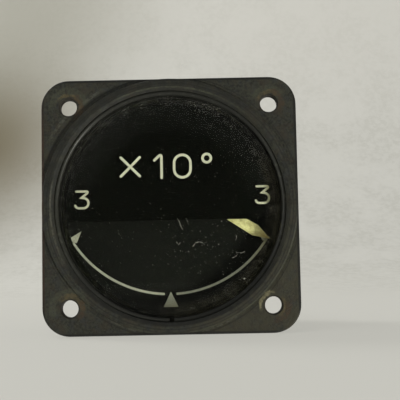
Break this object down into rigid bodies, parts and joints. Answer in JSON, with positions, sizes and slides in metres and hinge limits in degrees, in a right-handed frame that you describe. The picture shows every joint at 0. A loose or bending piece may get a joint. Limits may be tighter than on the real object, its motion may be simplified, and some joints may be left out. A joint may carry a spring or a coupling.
{
  "type": "bank indicator",
  "caption": "Square-flanged round panel indicator whose yellow pointer swings over an arc scale on the lower half of a two-level black dial.",
  "frame": {"origin": "centre of the four flange holes, in the flange's rear face, on the dial axis", "axes": "+Y into the instrument along the dial axis, away from the viewer; +Z towards the top of the dial; +X to the right as seen from the front"},
  "size_m": [0.06, 0.0746, 0.06],
  "materials": {
    "moulding": "moulded phenolic with matt charcoal paint",
    "ring_wire": "spring wire with black enamel",
    "window": "flat ground glass",
    "rubber": "moulded rubber",
    "black_paint": "matt black paint on aluminium",
    "pointer_paint": "matt yellow luminous paint on aluminium",
    "brass": "turned brass",
    "steel": "turned steel",
    "dark_screw": "blackened steel",
    "aluminium": "satin aluminium",
    "jewel": "synthetic ruby",
    "copper": "turned copper",
    "core_iron": "annealed nickel iron",
    "winding": "enamelled copper wire",
    "insulator": "paper phenolic laminate",
    "magnet": "cast alnico magnet",
    "contact": "silver plated brass",
    "connector_alloy": "satin aluminium alloy",
    "connector_insert": "moulded phenolic"
  },
  "bodies": {
    "case": {"housing": "moulding", "snap_ring": "ring_wire", "glass": "window", "glass_gasket": "rubber", "sight_ring": "black_paint", "dial_plate": "black_paint", "cover_plate": "black_paint", "cover_studs": "brass", "cover_stud_screws": "dark_screw", "dial_screws": "dark_screw", "dial_posts": "brass", "front_bridge": "brass", "front_bush": "brass", "ring_jewel": "jewel", "front_locknut": "brass", "rear_bridge": "brass", "jewel_screw": "brass", "cup_jewel": "jewel", "rear_locknut": "brass", "frame_pillars": "brass", "pillar_screws": "steel", "mount_posts": "brass", "mount_screws": "steel", "base_plate": "aluminium", "base_screws": "steel", "stator_core": "core_iron", "winding_1": "winding", "winding_2": "winding", "winding_3": "winding", "stator_cheeks": "insulator", "damper_cup": "copper", "damper_lid": "copper", "damper_screws": "dark_screw", "screening_can": "core_iron", "parking_magnet": "magnet", "parking_strap": "brass", "stop_pins": "steel", "board_standoffs": "brass", "terminal_board": "insulator", "board_screws": "steel", "solder_lugs": "contact", "trim_resistors": "insulator", "thread_inserts": "brass", "rear_gasket": "rubber", "rear_cover": "moulding", "rear_cover_screws": "dark_screw", "connector_gasket": "rubber", "connector_shell": "connector_alloy", "connector_disc": "connector_insert", "connector_pins": "contact", "connector_screws": "steel"},
    "rotor": {"spindle": "steel", "rotor_magnet": "magnet", "stop_arm": "brass", "pointer_hub": "brass", "pointer": "pointer_paint", "balance_weights": "brass"}
  },
  "joints": [
    {"name": "pointer_swing", "type": "hinge", "parent": "case", "child": "rotor", "pos_m": [0, 0.0019, 0.0063], "axis": [0, 1, 0], "range_deg": [0, 117], "stiffness_Nm_per_rad": 0.00002, "springref_deg": -20.05}
  ]
}
